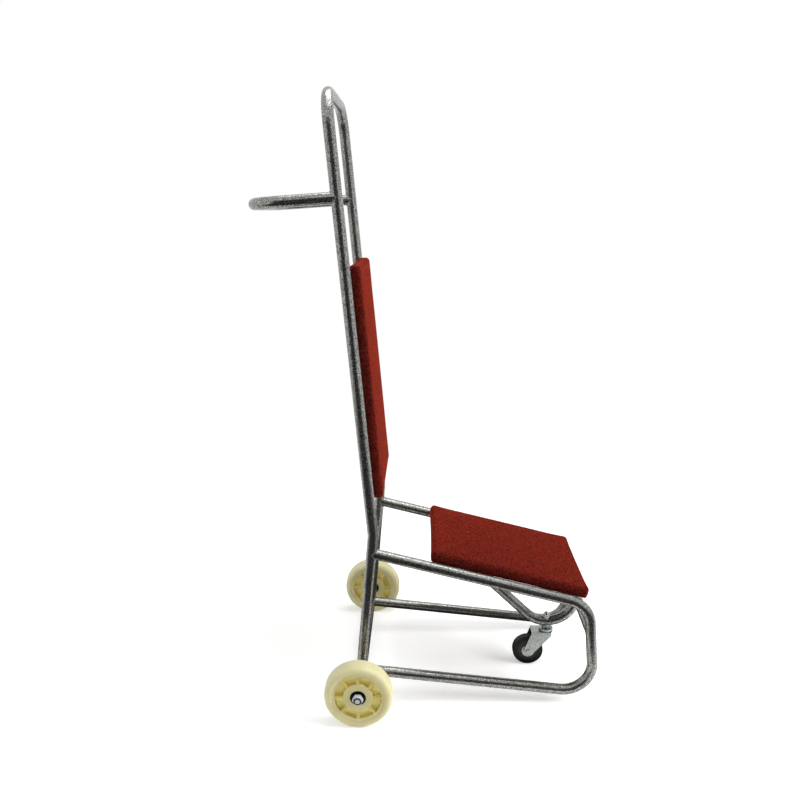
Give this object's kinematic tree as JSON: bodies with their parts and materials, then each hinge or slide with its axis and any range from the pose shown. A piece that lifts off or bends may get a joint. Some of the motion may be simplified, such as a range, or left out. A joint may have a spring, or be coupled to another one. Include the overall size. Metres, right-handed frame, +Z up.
{
  "type": "stacking chair trolley",
  "caption": "Upright tube-frame hand trolley for stacked chairs, with padded back and seat rests, plain rear wheels on a through axle, a front swivel castor and a rear U handle.",
  "frame": {"origin": "on the floor, under the middle of the bounding box, on the trolley's centre plane", "axes": "+X forward from the handle to the seat rest, +Y to the trolley's left, +Z up"},
  "size_m": [0.7666, 0.5496, 1.345],
  "materials": {
    "frame_paint": "silver-vein grey powder coat, mottled",
    "plywood": "plain birch plywood",
    "red_fabric": "woven brick-red upholstery",
    "zinc_hardware": "bright zinc plate",
    "machined_steel": "machined, lightly oiled",
    "cream_nylon": "moulded natural nylon",
    "seal_rubber": "matt black",
    "castor_zinc": "bright zinc plate on pressed steel",
    "castor_core_plastic": "moulded black",
    "castor_rubber": "satin black"
  },
  "bodies": {
    "frame": {"back_frame_tube": "frame_paint", "handle_tube": "frame_paint", "left_side_loop": "frame_paint", "right_side_loop": "frame_paint", "axle_cross_tube": "frame_paint", "front_crossbar": "frame_paint", "rear_crossbar": "frame_paint", "castor_support_tube": "frame_paint", "castor_socket": "frame_paint", "back_straps": "frame_paint", "seat_straps": "frame_paint", "back_board": "plywood", "seat_board": "plywood", "back_pad": "red_fabric", "seat_pad": "red_fabric", "back_tee_nuts": "zinc_hardware", "seat_tee_nuts": "zinc_hardware", "back_bolts": "zinc_hardware", "seat_bolts": "zinc_hardware", "axle_rod": "zinc_hardware", "axle_end_bushes": "machined_steel", "axle_washers": "zinc_hardware", "axle_lock_nuts": "zinc_hardware", "left_hub_sleeve": "machined_steel", "right_hub_sleeve": "machined_steel", "left_bearing_inner_rings": "machined_steel", "right_bearing_inner_rings": "machined_steel", "castor_stem": "castor_zinc", "castor_washer": "castor_zinc", "castor_dome_nut": "castor_zinc", "castor_top_race": "castor_zinc"},
    "left_wheel": {"left_wheel": "cream_nylon", "left_bearing_outer_rings": "machined_steel", "left_bearing_seals": "seal_rubber", "left_bearing_balls": "machined_steel"},
    "right_wheel": {"right_wheel": "cream_nylon", "right_bearing_outer_rings": "machined_steel", "right_bearing_seals": "seal_rubber", "right_bearing_balls": "machined_steel"},
    "castor_fork": {"castor_fork": "castor_zinc", "castor_axle_rivet": "castor_zinc", "castor_bush": "machined_steel", "castor_swivel_balls": "machined_steel"},
    "castor_wheel": {"castor_wheel_core": "castor_core_plastic", "castor_tyre": "castor_rubber", "castor_hub_discs": "castor_zinc"}
  },
  "joints": [
    {"name": "left_wheel_spin", "type": "hinge", "parent": "frame", "child": "left_wheel", "pos_m": [-0.15837, 0.245, 0.075], "axis": [0, 1, 0], "continuous": true},
    {"name": "right_wheel_spin", "type": "hinge", "parent": "frame", "child": "right_wheel", "pos_m": [-0.15837, -0.245, 0.075], "axis": [0, 1, 0], "continuous": true},
    {"name": "castor_swivel", "type": "hinge", "parent": "frame", "child": "castor_fork", "pos_m": [0.28963, 0, 0.092], "axis": [0, 0, 1], "continuous": true},
    {"name": "castor_wheel_spin", "type": "hinge", "parent": "castor_fork", "child": "castor_wheel", "pos_m": [0.24663, 0, 0.0375], "axis": [0, 1, 0], "continuous": true}
  ]
}
